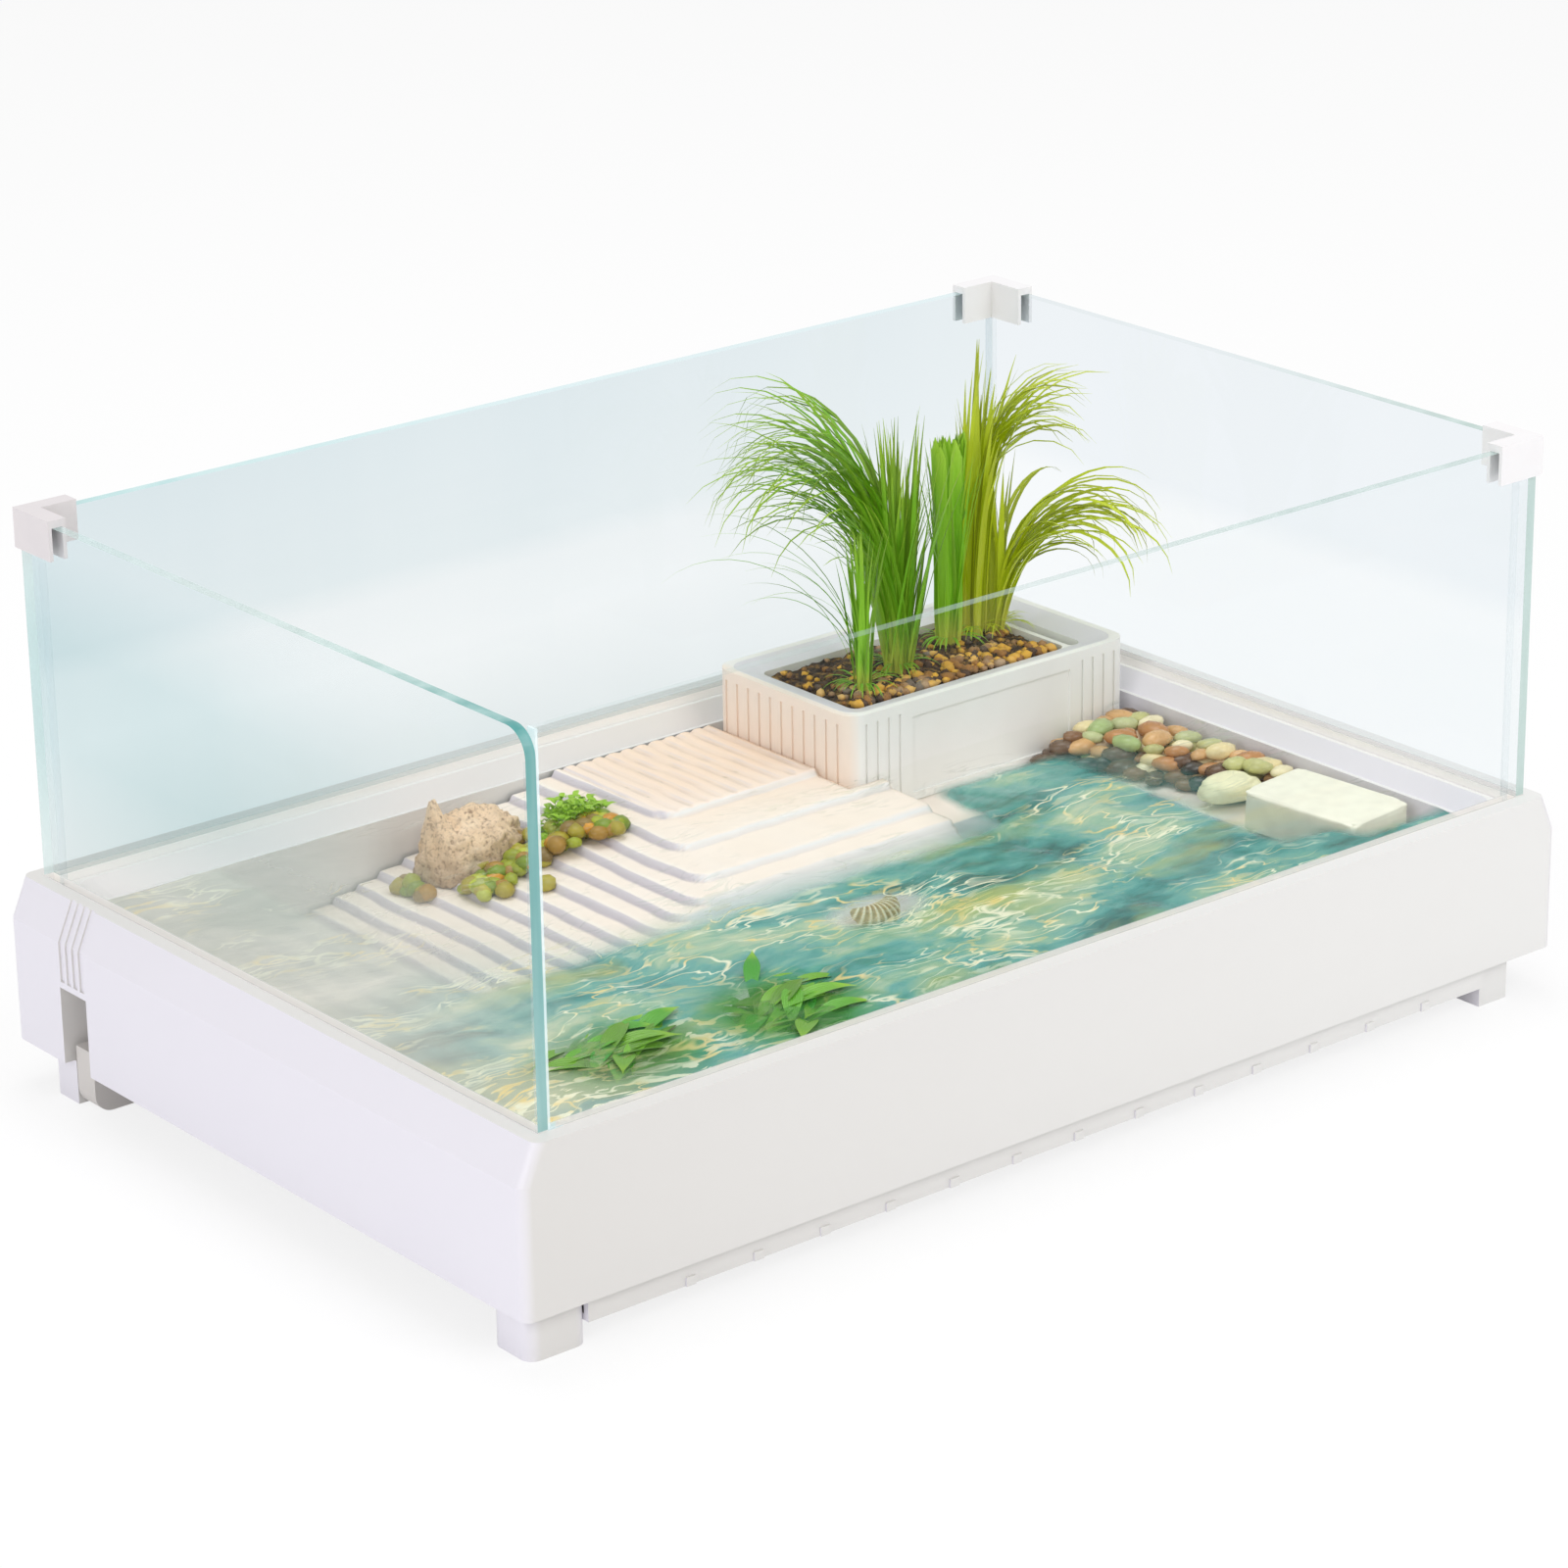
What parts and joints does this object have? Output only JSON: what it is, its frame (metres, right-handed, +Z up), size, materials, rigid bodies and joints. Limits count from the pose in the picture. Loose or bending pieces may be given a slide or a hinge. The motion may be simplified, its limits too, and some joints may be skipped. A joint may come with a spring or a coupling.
{
  "type": "turtle tank",
  "caption": "Glass-walled turtle tank on a moulded white tub, with a ridged ramp, a planter of grass, pebbles and stones.",
  "frame": {"origin": "on the floor, under the middle of the tub", "axes": "+X along the tank's length, from the drain end to the planter end; +Y from the front long side to the back one; +Z up"},
  "size_m": [0.6, 0.385, 0.2715],
  "materials": {
    "tub_plastic": "satin moulded white plastic",
    "glass": "clear float glass with polished green edges",
    "silicone": "translucent silicone bead",
    "clip_plastic": "smooth white plastic",
    "drain_plastic": "smooth grey plastic",
    "ramp_plastic": "matt cream plastic",
    "planter_plastic": "satin cream plastic",
    "soil": "loose brown soil",
    "gravel": "small pale grit",
    "grass": "soft green artificial grass",
    "moss": "bright green artificial moss",
    "leaf": "soft green artificial leaves",
    "tan_stone": "rough tan stone",
    "mixed_pebble": "river pebbles in olive and orange",
    "pale_pebble": "polished cream pebbles",
    "dark_pebble": "polished dark brown pebbles",
    "white_stone": "smooth cream-white stone",
    "grey_stone": "smooth grey stone",
    "shell": "ribbed shell in tan and white",
    "water": "clear rippled water"
  },
  "bodies": {
    "root": {"tub": "tub_plastic", "pane_left": "glass", "pane_right": "glass", "pane_front": "glass", "pane_back": "glass", "seal_front_left": "silicone", "seal_front_right": "silicone", "seal_back_left": "silicone", "seal_back_right": "silicone", "clip_back_left": "clip_plastic", "clip_back_right": "clip_plastic", "clip_front_right": "clip_plastic", "drain_spout": "drain_plastic", "drain_plug": "drain_plastic", "ramp": "ramp_plastic", "planter_box": "planter_plastic", "planter_soil": "soil", "planter_gravel": "gravel", "basking_rock": "tan_stone", "ramp_pebbles": "mixed_pebble", "moss": "moss", "pebbles_pale": "pale_pebble", "pebbles_dark": "dark_pebble", "white_slab": "white_stone", "pale_stone": "pale_pebble", "grey_stone": "grey_stone", "shell": "shell", "water_plant_left": "leaf", "water_plant_right": "leaf", "grass_1": "grass", "grass_2": "grass", "grass_3": "grass", "grass_4": "grass", "grass_5": "grass"}
  },
  "joints": []
}
